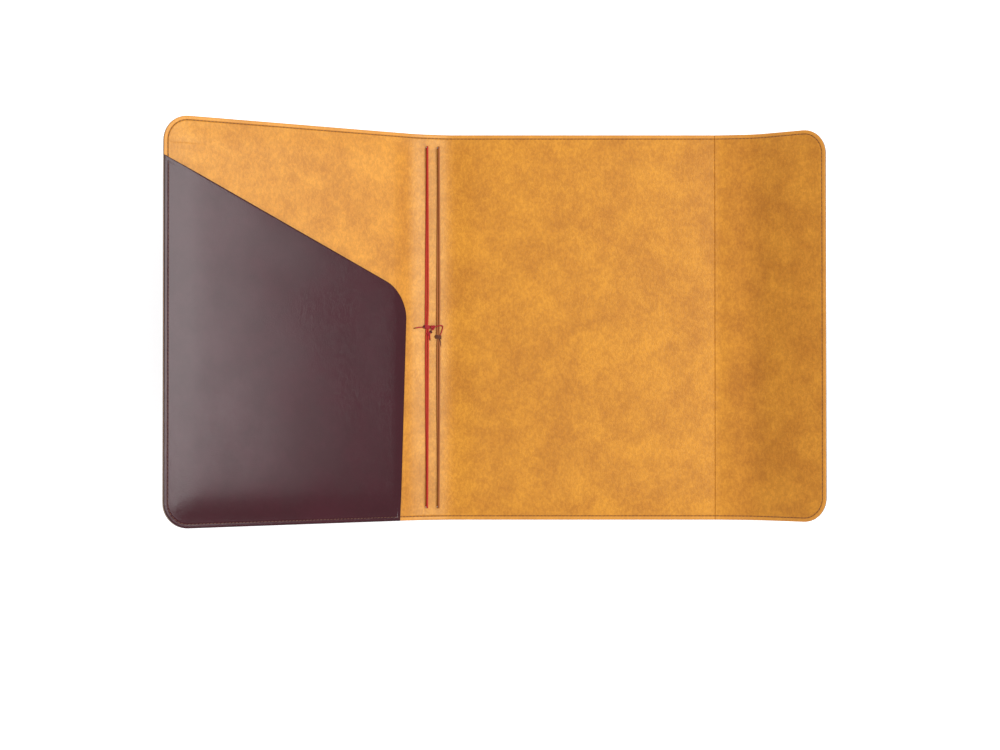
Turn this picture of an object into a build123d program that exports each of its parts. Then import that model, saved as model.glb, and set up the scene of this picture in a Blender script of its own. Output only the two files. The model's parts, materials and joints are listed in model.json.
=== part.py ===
from build123d import *
import math
import os

# A4 portfolio case, lying open on its back panel.
# The origin is the centre of the back panel's underside. +X runs across to the flap,
# -X to the front cover, +Y up the case to its top edge and +Z away from the table.
# Every piece is drawn with the case unfolded flat, then folded up to its rest position.

# ---- The case, in mm
HEIGHT = 315.0              # bottom edge to top edge
FRONT_WIDTH = 218.0         # cover fold to free edge
SPINE_WIDTH = 26.0          # spine fold to cover fold
BACK_WIDTH = 221.0          # spine fold to gusset fold
FLAP_WIDTH = 63.0           # flap fold to free edge
CORNER_RADIUS = 20.0        # the four outer corners

# ---- How far each fold is open at rest, in degrees from flat
SPINE_REST = 14.4
COVER_REST = 16.7
GUSSET_REST = 8.5
FLAP_REST = 27.5

# ---- Sheets and boards
OUTER_THICK = 1.4           # plum outer leather
LINING_THICK = 0.8          # tan lining leather
BOARD_THICK = 0.8           # stiffener board between the two leathers
POCKET_THICK = 1.2          # plum pocket leather
FOLD_GAP = 0.3              # slit between two bodies at a fold
BOARD_INSET = 7.0           # board edge in from the outer edge of the case
BOARD_SPINE_GAP = 10.0      # board edge back from a spine fold, where the leather bends softly
BOARD_GUSSET_GAP = 3.0      # back board up to the gusset fold, which creases along its edge
BOARD_FLAP_GAP = 14.0       # flap board back from the flap fold, the softest bend
LINING_SLOPE = 2.4          # run over which the lining comes down off a board
WRAP_CLEARANCE = 1.0        # room between the closed front cover and the flap over it

# ---- Pocket on the front cover
POCKET_TOP_GAP = 31.0       # top edge of the case down to the mouth, at the free edge
POCKET_SIDE_GAP = 15.5      # pocket's foot short of the cover fold, at the bottom edge
POCKET_DROP = 25.5          # slope of the diagonal mouth, degrees
POCKET_LEAN = 1.8           # how far the side mouth leans out, degrees from upright
POCKET_CORNER = 32.0        # radius where the two mouths meet
POCKET_GAP = 0.3            # room under the empty pocket

# ---- Perimeter seam
SEAM_INSET = 3.2            # stitch line in from the edge
THREAD_WIDTH = 0.7
THREAD_HEIGHT = 0.3
GROOVE_DEPTH = 0.4          # the stitches sit this deep, just below the surface

# ---- Elastics on the spine, each one cord wound twice through its two holes
CORD_RADIUS = 0.675
CORD_CLEARANCE = 0.1        # between a cord and the leather, or a cord and a cord
HOLE_CLEARANCE = 0.3        # between a hole's wall and the strands that turn through it
ELASTIC_SPACING = 9.5       # centre to centre across the spine
HOLE_FROM_EDGE = 11.0       # hole centre in from the top or bottom edge
CORD_BEND = 1.35            # radius where a cord turns through its hole

# ---- Knots and tie cord
TIE_RADIUS = 0.6            # tie cord and tails
KNOT_WALL = 0.6             # wrapped cord outside the two strands
KNOT_COVER = 1.0            # wrapped cord over the two strands
KNOT_DEPTH = 3.8            # along the strands
KNOT_ROUND = 1.0
TIE_KNOT_SIZE = 3.3         # knot at the centre of the spine
TIE_KNOT_RISE = 2.2
HITCH_SIZE = 2.3            # the tie cord's small hitch on the red elastic
HITCH_Y = -5.3
BROWN_KNOT_Y = -8.1         # the red elastic is tied at mid-height, the brown one below it
TAIL_FOLD_GAP = 0.6         # the long tail ends this far from the cover fold

# ---- Worked out from the sizes above
SOFT_TOP = OUTER_THICK + LINING_THICK
PANEL_TOP = SOFT_TOP + BOARD_THICK
GUSSET_WIDTH = SPINE_WIDTH + SOFT_TOP + BOARD_THICK + WRAP_CLEARANCE
SPINE_FOLD = -BACK_WIDTH / 2
COVER_FOLD = SPINE_FOLD - SPINE_WIDTH
FRONT_EDGE = COVER_FOLD - FRONT_WIDTH
GUSSET_FOLD = BACK_WIDTH / 2
FLAP_FOLD = GUSSET_FOLD + GUSSET_WIDTH
FLAP_EDGE = FLAP_FOLD + FLAP_WIDTH
SPINE_CENTRE = SPINE_FOLD - SPINE_WIDTH / 2
SLOPE_ANGLE = math.degrees(math.atan(LINING_SLOPE / BOARD_THICK))
HOLE_Y = HEIGHT / 2 - HOLE_FROM_EDGE
STRAND_PITCH = 2 * CORD_RADIUS + CORD_CLEARANCE
MIDDLE_SPREAD = math.sqrt(2) * STRAND_PITCH     # inner strands at the knot, centre to centre
STACK_RISE = MIDDLE_SPREAD                      # one inner strand over the other at the holes
KNOT_LENGTH = MIDDLE_SPREAD + 2 * CORD_RADIUS + 2 * KNOT_WALL
KNOT_RISE = 2 * CORD_RADIUS + KNOT_COVER
POCKET_HEIGHT = HEIGHT - POCKET_TOP_GAP
POCKET_FOOT = FRONT_WIDTH - POCKET_SIDE_GAP
HOLE_RADIUS = math.hypot(STRAND_PITCH, STRAND_PITCH) / 2 + CORD_RADIUS + HOLE_CLEARANCE
STRAND_Z = SOFT_TOP + CORD_CLEARANCE + CORD_RADIUS
OUTER_STRAND_Z = -CORD_CLEARANCE - CORD_RADIUS
TIE_Z = SOFT_TOP + CORD_CLEARANCE + TIE_RADIUS
OVER_STRAND_Z = STRAND_Z + CORD_RADIUS + CORD_CLEARANCE + TIE_RADIUS

# Each body covers one stretch of the unfolded case, left to right.
SPANS = {
    "front": (FRONT_EDGE, COVER_FOLD - FOLD_GAP / 2),
    "spine": (COVER_FOLD + FOLD_GAP / 2, SPINE_FOLD - FOLD_GAP / 2),
    "back": (SPINE_FOLD + FOLD_GAP / 2, GUSSET_FOLD - FOLD_GAP / 2),
    "gusset": (GUSSET_FOLD + FOLD_GAP / 2, FLAP_FOLD - FOLD_GAP / 2),
    "flap": (FLAP_FOLD + FOLD_GAP / 2, FLAP_EDGE),
}

# The stretches that hold a board. At an outer edge the case outline limits the board.
BOARD_SPANS = {
    "front": (FRONT_EDGE, COVER_FOLD - BOARD_SPINE_GAP),
    "back": (SPINE_FOLD + BOARD_SPINE_GAP, GUSSET_FOLD - BOARD_GUSSET_GAP),
    "flap": (FLAP_FOLD + BOARD_FLAP_GAP, FLAP_EDGE),
}


def case_outline(inset=0.0):
    """The unfolded case seen from above, drawn in from its edge by inset."""
    width = FLAP_EDGE - FRONT_EDGE - 2 * inset
    middle = (FLAP_EDGE + FRONT_EDGE) / 2
    return Pos(middle, 0) * RectangleRounded(width, HEIGHT - 2 * inset, CORNER_RADIUS - inset)


def stretch(x_low, x_high):
    """A strip over the full height of the case, from x_low to x_high."""
    return Pos((x_low + x_high) / 2, 0) * Rectangle(x_high - x_low, HEIGHT)


def sheet(face, z_low, z_high):
    """A flat sheet of the given outline, from z_low to z_high."""
    return extrude(Pos(0, 0, z_low) * face, amount=z_high - z_low)


def sloped_pad(face, z_low, rise):
    """A pad whose sides lean in at the slope of the lining around a board."""
    return extrude(Pos(0, 0, z_low) * face, amount=rise, taper=SLOPE_ANGLE)


def seam_ring():
    """The stitch line all round the unfolded case."""
    outside = case_outline(SEAM_INSET - THREAD_WIDTH / 2)
    inside = case_outline(SEAM_INSET + THREAD_WIDTH / 2)
    return outside - inside


def pocket_outline():
    """The pocket: sewn along the free edge and the bottom, open along its other two sides."""
    bottom = -HEIGHT / 2
    lean = math.tan(math.radians(POCKET_LEAN))
    drop = math.tan(math.radians(POCKET_DROP))
    tip_height = (POCKET_HEIGHT - POCKET_FOOT * drop) / (1 + lean * drop)
    tip = (FRONT_EDGE + POCKET_FOOT + tip_height * lean, bottom + tip_height)
    corners = [
        (FRONT_EDGE, bottom),
        (FRONT_EDGE + POCKET_FOOT, bottom),
        tip,
        (FRONT_EDGE, bottom + POCKET_HEIGHT),
    ]
    shape = make_face(Polyline(*corners, close=True))
    tip_vertex = shape.vertices().sort_by_distance(tip)[0]
    shape = fillet(tip_vertex, POCKET_CORNER)
    return shape & case_outline()


def holes():
    """Both elastics' holes at the top and the bottom of the spine."""
    cutters = Part()
    for side in (-1, 1):
        for end in (-1, 1):
            place = Pos(SPINE_CENTRE + side * ELASTIC_SPACING / 2, end * HOLE_Y, SOFT_TOP / 2)
            cutters += place * Cylinder(HOLE_RADIUS, 2 * SOFT_TOP)
    return cutters


def outer_leather(body):
    """One body's stretch of the outer leather, grooved below for the seam."""
    face = case_outline() & stretch(*SPANS[body])
    leather = sheet(face, 0, OUTER_THICK)
    leather -= sheet(seam_ring(), 0, GROOVE_DEPTH)
    if body == "spine":
        leather -= holes()
    return leather


def board(body):
    """The stiffener between the two leathers."""
    face = case_outline(BOARD_INSET) & stretch(*BOARD_SPANS[body])
    return sheet(face, OUTER_THICK, OUTER_THICK + BOARD_THICK)


def lining(body):
    """One body's stretch of lining, drawn up over its board and grooved for the seam."""
    face = case_outline() & stretch(*SPANS[body])
    leather = sheet(face, OUTER_THICK, SOFT_TOP)
    groove = seam_ring()
    if body in BOARD_SPANS:
        low, high = BOARD_SPANS[body]
        foot = case_outline(BOARD_INSET - LINING_SLOPE) & stretch(low - LINING_SLOPE, high + LINING_SLOPE)
        leather += sloped_pad(foot, SOFT_TOP, BOARD_THICK)
        leather -= board(body)
    if body == "front":
        groove -= pocket_outline()
    if body == "spine":
        leather -= holes()
    return leather - sheet(groove, SOFT_TOP - GROOVE_DEPTH, SOFT_TOP)


def pocket():
    """The pocket leather: flat on the lining where it is sewn, clear of it everywhere else."""
    outline = pocket_outline()
    foot = case_outline(BOARD_INSET - LINING_SLOPE - POCKET_GAP)
    rise = BOARD_THICK + POCKET_GAP
    leather = sheet(case_outline(), SOFT_TOP, SOFT_TOP + POCKET_THICK)
    leather += sloped_pad(foot, SOFT_TOP + POCKET_THICK, rise)
    leather -= sloped_pad(foot, SOFT_TOP, rise)
    leather &= sheet(outline, SOFT_TOP, SOFT_TOP + POCKET_THICK + rise)
    groove_top = SOFT_TOP + POCKET_THICK
    return leather - sheet(seam_ring() & outline, groove_top - GROOVE_DEPTH, groove_top)


def seam_thread(body):
    """The two stitch lines of one body, one in each face."""
    ring = seam_ring() & stretch(*SPANS[body])
    lines = [sheet(ring, GROOVE_DEPTH - THREAD_HEIGHT, GROOVE_DEPTH)]
    floor = SOFT_TOP - GROOVE_DEPTH
    if body != "front":
        lines.append(sheet(ring, floor, floor + THREAD_HEIGHT))
    else:
        raised = floor + POCKET_THICK
        lines.append(sheet(ring - pocket_outline(), floor, floor + THREAD_HEIGHT))
        lines.append(sheet(ring & pocket_outline(), raised, raised + THREAD_HEIGHT))
    return Compound([solid for line in lines for solid in line.solids()])


def tube(points, radii, radius):
    """A cord along straight runs joined by arcs, one radius for each corner."""
    path = FilletPolyline(*points, radius=radii)
    section = Plane(path @ 0, z_dir=path % 0) * Circle(radius)
    cord = sweep(section, path)
    print("  cord", round(path.length, 1), "mm long, arcs", radii, "volume ratio",
          round(cord.volume / (math.pi * radius**2 * path.length), 4))
    return cord


def elastic(x, knot_y):
    """One cord wound twice: down the inside of the spine and back up the outside.

    The first turn passes through each hole on the side nearer mid-height and lies lowest,
    the second turn passes beyond it and above it. The knot hides the step from turn to turn.
    """
    left = x - MIDDLE_SPREAD / 2
    right = x + MIDDLE_SPREAD / 2
    step = KNOT_DEPTH / 2 - 0.3
    end = KNOT_DEPTH / 2 - 0.8
    turns = []
    for side in (-1, 1):
        reach = HOLE_Y + side * STRAND_PITCH / 2
        rise = STRAND_Z + (STACK_RISE if side > 0 else 0)
        outside = x + side * STRAND_PITCH / 2
        turns.append([
            (x, reach, rise),
            (outside, reach, OUTER_STRAND_Z),
            (outside, -reach, OUTER_STRAND_Z),
            (x, -reach, rise),
        ])
    points = [(left, knot_y + end, STRAND_Z)]
    points += turns[0]
    points += [(left, knot_y - step, STRAND_Z), (right, knot_y + step, STRAND_Z)]
    points += turns[1]
    points += [(right, knot_y - end, STRAND_Z)]
    turn_radii = [CORD_BEND] * 4
    radii = turn_radii + [2 * CORD_BEND] * 2 + turn_radii
    return tube(points, radii, CORD_RADIUS)


def rounded_lump(x, y, length, depth, rise):
    """The body of a knot, standing on the lining."""
    place = Pos(x, y, SOFT_TOP + CORD_CLEARANCE / 2 + rise / 2)
    lump = Box(length, depth, rise)
    return place * fillet(lump.edges(), KNOT_ROUND)


def red_knot(cord):
    """The knot of the red elastic, with its tail towards the front cover."""
    x = SPINE_CENTRE - ELASTIC_SPACING / 2
    tip = COVER_FOLD + TAIL_FOLD_GAP
    start = x - KNOT_LENGTH / 2 + KNOT_ROUND
    points = [(start, -0.1, TIE_Z), ((start + tip) / 2, -0.4, TIE_Z), (tip, -0.8, TIE_Z)]
    tail = tube(points, [60.0], TIE_RADIUS)
    knot = rounded_lump(x, 0, KNOT_LENGTH, KNOT_DEPTH, KNOT_RISE) + tail
    return knot - cord


def brown_knot(cord, tie):
    """The knot of the brown elastic, with its tail down beside the right strand."""
    x = SPINE_CENTRE + ELASTIC_SPACING / 2
    side = x + MIDDLE_SPREAD / 2 + CORD_RADIUS + CORD_CLEARANCE + TIE_RADIUS
    start = (side - 0.7, BROWN_KNOT_Y - 1.0, TIE_Z)
    bend = (side, BROWN_KNOT_Y - 3.6, TIE_Z)
    tip = (side, BROWN_KNOT_Y - 7.4, TIE_Z)
    tail = tube([start, bend, tip], [6.0], TIE_RADIUS)
    knot = rounded_lump(x, BROWN_KNOT_Y, KNOT_LENGTH, KNOT_DEPTH, KNOT_RISE) + tail
    return knot - cord - tie


def centre_knot(red_cord):
    """The tie cord between the two elastics, knotted at the centre of the spine.

    Its left end is hitched to the red elastic. Its right end passes over the brown elastic
    and comes back from outside into the brown elastic's knot.
    """
    x = SPINE_CENTRE
    beside = CORD_RADIUS + CORD_CLEARANCE + TIE_RADIUS
    red_strand = x - ELASTIC_SPACING / 2 + MIDDLE_SPREAD / 2
    brown_strand = x + ELASTIC_SPACING / 2 + MIDDLE_SPREAD / 2
    left = [
        (x - 0.6, -1.0, TIE_Z),
        (x - 1.4, -3.9, TIE_Z),
        (red_strand + beside, -6.6, TIE_Z),
        (red_strand + beside + 0.35, -10.4, TIE_Z),
    ]
    right = [
        (x + 1.0, -0.1, TIE_Z + 0.4),
        (x + 2.2, 0.3, OVER_STRAND_Z + CORD_CLEARANCE),
        (brown_strand + 1.0, 1.3, OVER_STRAND_Z + CORD_CLEARANCE),
        (brown_strand + 2.9, 0.2, TIE_Z + 0.6),
        (brown_strand + 2.5, -2.6, TIE_Z),
        (brown_strand + beside, BROWN_KNOT_Y + 0.9, TIE_Z),
    ]
    knot = rounded_lump(x, -0.2, TIE_KNOT_SIZE, TIE_KNOT_SIZE, TIE_KNOT_RISE)
    knot += rounded_lump(red_strand, HITCH_Y, HITCH_SIZE, HITCH_SIZE, KNOT_RISE)
    knot += tube(left, [3.6, 3.6], TIE_RADIUS)
    knot += tube(right, [1.5, 2.0, 1.2, 1.8], TIE_RADIUS)
    return knot - red_cord


def fold(piece, x_fold, angle):
    """Turn a piece about the fold at x_fold. The fold line runs along the lining's surface."""
    return piece.rotate(Axis((x_fold, 0, SOFT_TOP), (0, 1, 0)), angle)


def at_rest(piece, body):
    """Fold a flat piece up to where its body lies at rest."""
    if body == "front":
        piece = fold(piece, COVER_FOLD, COVER_REST)
    if body in ("front", "spine"):
        piece = fold(piece, SPINE_FOLD, SPINE_REST)
    if body == "flap":
        piece = fold(piece, FLAP_FOLD, -FLAP_REST)
    if body in ("flap", "gusset"):
        piece = fold(piece, GUSSET_FOLD, -GUSSET_REST)
    return piece


def make_pieces():
    """Every piece by node name, drawn flat, with the body it belongs to."""
    pieces = {}
    for body in SPANS:
        pieces[body + "_outer_leather"] = (outer_leather(body), body)
        pieces[body + "_lining"] = (lining(body), body)
        pieces[body + "_seam_thread"] = (seam_thread(body), body)
    for body in BOARD_SPANS:
        pieces[body + "_board"] = (board(body), body)
    pieces["pocket_leather"] = (pocket(), "front")
    red_cord = elastic(SPINE_CENTRE - ELASTIC_SPACING / 2, 0)
    brown_cord = elastic(SPINE_CENTRE + ELASTIC_SPACING / 2, BROWN_KNOT_Y)
    pieces["red_elastic"] = (red_cord, "spine")
    pieces["brown_elastic"] = (brown_cord, "spine")
    pieces["red_elastic_knot"] = (red_knot(red_cord), "spine")
    tie = centre_knot(red_cord)
    pieces["centre_knot"] = (tie, "spine")
    pieces["brown_elastic_knot"] = (brown_knot(brown_cord, tie), "spine")
    return pieces


os.makedirs("parts", exist_ok=True)
for node, (piece, body) in make_pieces().items():
    print(node, "on", body)
    export_step(at_rest(piece, body), "parts/" + node + ".step")
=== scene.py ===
# %% [markdown]
# # A leather portfolio case, lying open
#
# The case is one long plum leather faced with a tan lining. Boards stiffen its three panels,
# a seam runs all round it, and two elastic cords cross its spine. A frame made by the
# designer already says how large every part is and where the case folds. We could model the
# leather folded, but a maker cuts and sews it flat and folds it last. So every sheet here is
# drawn flat as well, and one function folds it up to where the frame lies.

# %% Load the frame
import bmesh
import bpy
import json
import math
from mathutils import Matrix, Vector, noise
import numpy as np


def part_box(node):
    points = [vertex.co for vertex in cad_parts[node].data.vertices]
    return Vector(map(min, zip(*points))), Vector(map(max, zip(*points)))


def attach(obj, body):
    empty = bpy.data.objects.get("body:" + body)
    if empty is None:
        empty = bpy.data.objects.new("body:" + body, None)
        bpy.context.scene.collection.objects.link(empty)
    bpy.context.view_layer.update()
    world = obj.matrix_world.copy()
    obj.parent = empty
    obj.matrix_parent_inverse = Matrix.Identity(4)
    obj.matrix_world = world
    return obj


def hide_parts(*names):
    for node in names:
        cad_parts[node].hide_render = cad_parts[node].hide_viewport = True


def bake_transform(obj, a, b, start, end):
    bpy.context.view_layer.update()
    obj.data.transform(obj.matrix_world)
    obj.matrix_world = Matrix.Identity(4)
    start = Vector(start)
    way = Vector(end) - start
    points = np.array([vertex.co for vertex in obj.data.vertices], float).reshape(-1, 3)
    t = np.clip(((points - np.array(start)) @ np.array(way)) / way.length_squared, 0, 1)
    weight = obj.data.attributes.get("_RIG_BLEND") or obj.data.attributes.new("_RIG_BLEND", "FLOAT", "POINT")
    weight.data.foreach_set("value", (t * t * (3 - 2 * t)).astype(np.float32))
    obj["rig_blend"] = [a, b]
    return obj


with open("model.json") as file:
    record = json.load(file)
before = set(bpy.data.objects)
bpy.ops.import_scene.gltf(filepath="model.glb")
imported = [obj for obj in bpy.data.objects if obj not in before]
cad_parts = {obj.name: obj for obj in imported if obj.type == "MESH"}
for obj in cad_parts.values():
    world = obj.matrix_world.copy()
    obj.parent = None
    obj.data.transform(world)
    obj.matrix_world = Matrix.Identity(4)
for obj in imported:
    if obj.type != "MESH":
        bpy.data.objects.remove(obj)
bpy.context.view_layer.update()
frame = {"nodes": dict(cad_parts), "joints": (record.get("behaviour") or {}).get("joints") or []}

# %% [markdown]
# ## Sizes
#
# Sizes that the frame knows are read from it, so that this script still fits when the
# designer changes one. A folded panel's flat width follows from its box and its angle. The
# sizes that only matter to the eye, such as how softly each fold bends, are set here.

# %% Read the sizes
JOINTS = {joint["name"]: joint for joint in frame["joints"]}


def fold_line(name):
    """Where a fold's line crosses the middle of the case."""
    return Vector(JOINTS[name]["pos_m"])


def fold_rest(name):
    """How far a fold is raised at rest, in radians from flat."""
    return -math.radians(JOINTS[name]["range_deg"][0])


SOFT_TOP = fold_line("spine_fold").z
OUTER_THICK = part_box("back_outer_leather")[1].z
BOARD_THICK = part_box("back_lining")[1].z - SOFT_TOP
HALF_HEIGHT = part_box("back_lining")[1].y
SPINE_FOLD = fold_line("spine_fold").x
GUSSET_FOLD = fold_line("gusset_fold").x
SPINE_WIDTH = (fold_line("cover_fold") - fold_line("spine_fold")).length
GUSSET_WIDTH = (fold_line("flap_fold") - fold_line("gusset_fold")).length
COVER_FOLD = SPINE_FOLD - SPINE_WIDTH
FLAP_FOLD = GUSSET_FOLD + GUSSET_WIDTH
SPINE_CENTRE = SPINE_FOLD - SPINE_WIDTH / 2
GUSSET_CENTRE = GUSSET_FOLD + GUSSET_WIDTH / 2
COVER_ANGLE = fold_rest("spine_fold") + fold_rest("cover_fold")
FLAP_ANGLE = fold_rest("gusset_fold") + fold_rest("flap_fold")


def flat_reach(across, angle):
    """A raised panel's flat width, from how far it reaches across and its angle."""
    return (across - SOFT_TOP * math.sin(angle)) / math.cos(angle)


FRONT_EDGE = COVER_FOLD - flat_reach(
    fold_line("cover_fold").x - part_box("front_outer_leather")[0].x, COVER_ANGLE)
FLAP_EDGE = FLAP_FOLD + flat_reach(
    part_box("flap_outer_leather")[1].x - fold_line("flap_fold").x, FLAP_ANGLE)
CORNER_RADIUS = 0.020
print("flat length", round(FLAP_EDGE - FRONT_EDGE, 4), "m")

# %% [markdown]
# ## Camera
#
# The camera looks almost straight down from about 1.6 m with a long lens, so that the case
# keeps its proportions. It comes first, so that every later step can be looked at.

# %% Place the camera
CAMERA_PLACE = Vector((-0.0679, -0.0609, 1.579))
CAMERA_TILT = 0.0138
SENSOR_WIDTH = 36
LENS = 69.37

camera_data = bpy.data.cameras.new("camera")
camera_data.sensor_width = SENSOR_WIDTH
camera_data.lens = LENS
camera = bpy.data.objects.new("camera", camera_data)
camera.location = CAMERA_PLACE
camera.rotation_euler = (CAMERA_TILT, 0, 0)
bpy.context.scene.collection.objects.link(camera)
bpy.context.scene.camera = camera
bpy.context.scene.view_settings.view_transform = "Standard"
print("camera lens", LENS, "mm")

# %% [markdown]
# ## Folding
#
# Leather over a fold is no sharp hinge: it turns over a stretch of 10 to 30 mm. We could fold
# with an armature, but a formula is exact and needs no weights. The angle of the leather
# grows smoothly along each bend, and adding up short steps at that angle gives the path of
# the lining's surface. Every vertex of a flat sheet then moves to its place on that path.

# %% The path of the folded leather
SPINE_BEND = 0.016
COVER_BEND = 0.022
GUSSET_BEND = 0.010
FLAP_BEND = 0.030
PATH_STEP = 0.00025

BENDS = {
    -1: [(-SPINE_FOLD, SPINE_BEND, fold_rest("spine_fold")),
         (-COVER_FOLD, COVER_BEND, fold_rest("cover_fold"))],
    1: [(GUSSET_FOLD, GUSSET_BEND, fold_rest("gusset_fold")),
        (FLAP_FOLD, FLAP_BEND, fold_rest("flap_fold"))],
}


def smooth(share):
    """Rises softly from 0 to 1 as share goes from 0 to 1."""
    share = min(max(share, 0.0), 1.0)
    return share * share * (3 - 2 * share)


def leather_angle(side, reach):
    """The leather's angle from flat at a distance from the middle of the back panel."""
    return sum(rest * smooth((reach - fold) / bend + 0.5) for fold, bend, rest in BENDS[side])


def folded_path(side):
    """Places (across, up) of the lining's surface, one for each short step outwards."""
    path = [(0.0, SOFT_TOP)]
    steps = int(max(-FRONT_EDGE, FLAP_EDGE) / PATH_STEP) + 2
    for step in range(steps):
        angle = leather_angle(side, (step + 0.5) * PATH_STEP)
        across, up = path[-1]
        path.append((across + PATH_STEP * math.cos(angle), up + PATH_STEP * math.sin(angle)))
    return path


PATHS = {side: folded_path(side) for side in BENDS}


def fold_up(flat):
    """Where a point of the unfolded case lies at rest."""
    side = 1 if flat.x > 0 else -1
    reach = abs(flat.x)
    step = int(reach / PATH_STEP)
    share = reach / PATH_STEP - step
    (near, low), (far, high) = PATHS[side][step], PATHS[side][step + 1]
    angle = leather_angle(side, reach)
    lift = flat.z - SOFT_TOP
    across = near + (far - near) * share - lift * math.sin(angle)
    return Vector((side * across, flat.y, low + (high - low) * share + lift * math.cos(angle)))


print("free edge of the cover at", [round(c, 4) for c in fold_up(Vector((FRONT_EDGE, 0, 0)))])

# %% [markdown]
# ## The flat sheet
#
# A sheet starts as a square, made the size of the case, with its four corners bevelled
# round. Insets follow the edge inwards and carry its rounding and the groove of the seam.
# Straight cuts, close together at the folds, let it bend. A layer remembers how far each
# vertex is from the cut edge. Subdividing the whole sheet finely would also work, but it
# would spend its faces where nothing happens.

# %% Draw a sheet flat
SEAM_INSET = 0.0032
EDGE_LOOPS = [0.0001, 0.0003, 0.0006, 0.0015, 0.0023, 0.0027, 0.0030, 0.0032, 0.0034,
              0.0037, 0.0041, 0.0050, 0.0062, 0.0074, 0.0086, 0.0100]
CORNER_SEGMENTS = 14
CUT_SPACING = 0.011
CUTS_PER_BEND = 16
CUTS_PER_PAD = 6
CREASE_FROM_BOARD = 0.0004
CREASE_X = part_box("back_board")[1].x + CREASE_FROM_BOARD
CREASE_HALF = 0.0005
WRINKLE_FROM_TOP = 0.021
WRINKLE_Y = HALF_HEIGHT - WRINKLE_FROM_TOP


def everything(bm):
    """All the parts of a bmesh, as its operators want them."""
    return bm.verts[:] + bm.edges[:] + bm.faces[:]


def case_outline():
    """One flat face in the outline of the unfolded case."""
    bm = bmesh.new()
    bmesh.ops.create_grid(bm, x_segments=1, y_segments=1, size=0.5)
    bmesh.ops.scale(bm, vec=(FLAP_EDGE - FRONT_EDGE, 2 * HALF_HEIGHT, 1), verts=bm.verts)
    bmesh.ops.translate(bm, vec=((FLAP_EDGE + FRONT_EDGE) / 2, 0, 0), verts=bm.verts)
    bmesh.ops.bevel(bm, geom=bm.verts[:], offset=CORNER_RADIUS, offset_type="OFFSET",
                    segments=CORNER_SEGMENTS, profile=0.5, affect="VERTICES", material=-1)
    return bm


def follow_edge(bm):
    """Insets one face again and again, and notes each loop's distance from the edge."""
    depth = bm.verts.layers.float.new("edge_depth")
    face, reached = bm.faces[:][0], 0.0
    for distance in EDGE_LOOPS:
        bmesh.ops.inset_region(bm, faces=[face], thickness=distance - reached,
                               use_boundary=True, use_even_offset=True)
        for vert in face.verts:
            vert[depth] = distance
        reached = distance


def cut(bm, places, normal):
    """Cuts a sheet along straight lines, at those places along the normal."""
    for place in places:
        bmesh.ops.bisect_plane(bm, geom=everything(bm), dist=1e-6,
                               plane_co=normal * place, plane_no=normal)


def evenly(low, high, spacing):
    """Places from low to high, about that far apart."""
    count = max(1, round((high - low) / spacing))
    return [low + (high - low) * step / count for step in range(count + 1)]


def cuts_across():
    """Where the sheet is cut from top to bottom: coarsely, and closely at folds and boards."""
    places = evenly(FRONT_EDGE + CUT_SPACING, FLAP_EDGE - CUT_SPACING, CUT_SPACING)
    for side, bends in BENDS.items():
        for fold, bend, _ in bends:
            places += evenly(side * fold - bend / 2, side * fold + bend / 2,
                             bend / CUTS_PER_BEND)
    for low, high in PADS:
        places += evenly(low, low + PAD_RUN, PAD_RUN / CUTS_PER_PAD)
        places += evenly(high - PAD_RUN, high, PAD_RUN / CUTS_PER_PAD)
    places += evenly(CREASE_X - CREASE_HALF, CREASE_X + CREASE_HALF, CREASE_HALF / 3)
    return sorted(set(round(place, 5) for place in places))


def cuts_up():
    """Where the sheet is cut from side to side."""
    places = evenly(CUT_SPACING - HALF_HEIGHT, HALF_HEIGHT - CUT_SPACING, CUT_SPACING)
    return places + evenly(WRINKLE_Y - CREASE_HALF, WRINKLE_Y + CREASE_HALF, CREASE_HALF / 3)


# %% Where the boards lift the lining
PAD_SLOPE = 0.022
PAD_RUN = 0.020
PAD_OVER = 0.0065
COVER_BOARD_GAP = (fold_line("cover_fold").x
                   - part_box("front_board")[1].x) / math.cos(COVER_ANGLE)
PADS = [(FRONT_EDGE - PAD_RUN, COVER_FOLD - COVER_BOARD_GAP + PAD_OVER),
        (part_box("back_board")[0].x - PAD_OVER, FLAP_EDGE + PAD_RUN)]
print("the lining is lifted over", [(round(low, 4), round(high, 4)) for low, high in PADS])

# %% Punch the elastics' holes
CORD_RADIUS = 0.000675
CORD_CLEARANCE = 0.0001
STRAND_PITCH = 2 * CORD_RADIUS + CORD_CLEARANCE
ELASTIC_OFFSET = 0.00475
HOLE_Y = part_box("red_elastic")[1].y - CORD_RADIUS - STRAND_PITCH / 2
HOLE_RADIUS = 1.2 * CORD_RADIUS
HOLE_SQUARE = 0.0032
HOLE_BORDER = HOLE_SQUARE / 6


def punch(bm, x, y):
    """Opens a round hole: a square of the sheet is inset, and the inset made a circle."""
    across, up = Vector((1, 0, 0)), Vector((0, 1, 0))
    cut(bm, (x - HOLE_SQUARE, x + HOLE_SQUARE), across)
    cut(bm, (y - HOLE_SQUARE, y + HOLE_SQUARE), up)
    inside = [face for face in bm.faces
              if abs(face.calc_center_median().x - x) < HOLE_SQUARE
              and abs(face.calc_center_median().y - y) < HOLE_SQUARE]
    face = inside[0]
    if len(inside) > 1:
        face = bmesh.ops.dissolve_faces(bm, faces=inside)["region"][0]
    bmesh.ops.subdivide_edges(bm, edges=face.edges[:], cuts=1)
    bmesh.ops.inset_individual(bm, faces=[face], thickness=HOLE_BORDER)
    centre = Vector((x, y, 0))
    for vert in face.verts:
        vert.co = centre + (vert.co - centre).normalized() * HOLE_RADIUS
    bmesh.ops.delete(bm, geom=[face], context="FACES_ONLY")


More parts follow.
